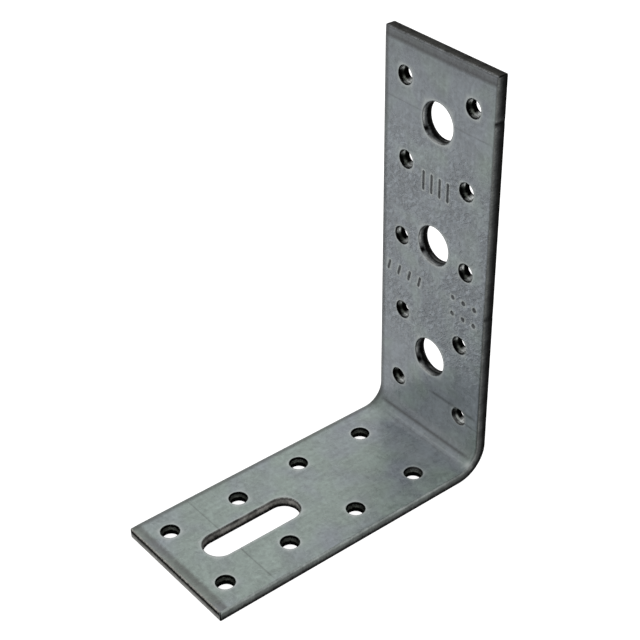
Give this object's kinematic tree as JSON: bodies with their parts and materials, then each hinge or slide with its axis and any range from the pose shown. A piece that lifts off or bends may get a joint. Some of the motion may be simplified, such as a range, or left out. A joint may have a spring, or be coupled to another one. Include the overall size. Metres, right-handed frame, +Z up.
{
  "type": "angle bracket",
  "caption": "Folded galvanised steel angle bracket with staggered nail holes on both legs, bolt holes up the tall leg and an adjusting slot in the short one.",
  "frame": {"origin": "middle of the bracket's outline, on the underside of the foot", "axes": "+X across the strip, +Y from the foot's free end to the back of the upright, +Z up the upright"},
  "size_m": [0.04, 0.09, 0.12],
  "materials": {
    "galvanised_steel": "matt zinc coating, cloudy grey, with darker sheared edges"
  },
  "bodies": {
    "root": {"angle_bracket": "galvanised_steel"}
  },
  "joints": []
}
